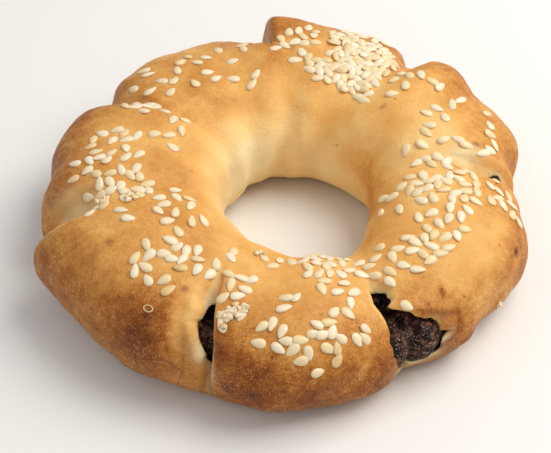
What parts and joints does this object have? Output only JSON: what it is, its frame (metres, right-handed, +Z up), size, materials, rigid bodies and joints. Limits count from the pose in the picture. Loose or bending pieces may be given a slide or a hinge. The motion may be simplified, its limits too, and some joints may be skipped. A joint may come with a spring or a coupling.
{
  "type": "filled brioche ring",
  "caption": "Baked ring of stuffed brioche dough, cut from its outer side so that a dark filling shows, with sesame seeds on its crust.",
  "frame": {"origin": "middle of the base, on the surface it rests on", "axes": "+Z up through the ring's hole; -Y towards the segment between the two open cuts, which faced the camera; +X to that camera's right"},
  "size_m": [0.1216, 0.1278, 0.0328],
  "materials": {
    "dough": "baked crust with a soft sheen, paler in the cuts and in the hole, with cream sesame seeds",
    "filling": "moist dark sweet filling, lumpy and grainy"
  },
  "bodies": {
    "root": {"dough": "dough", "filling": "filling"}
  },
  "joints": []
}
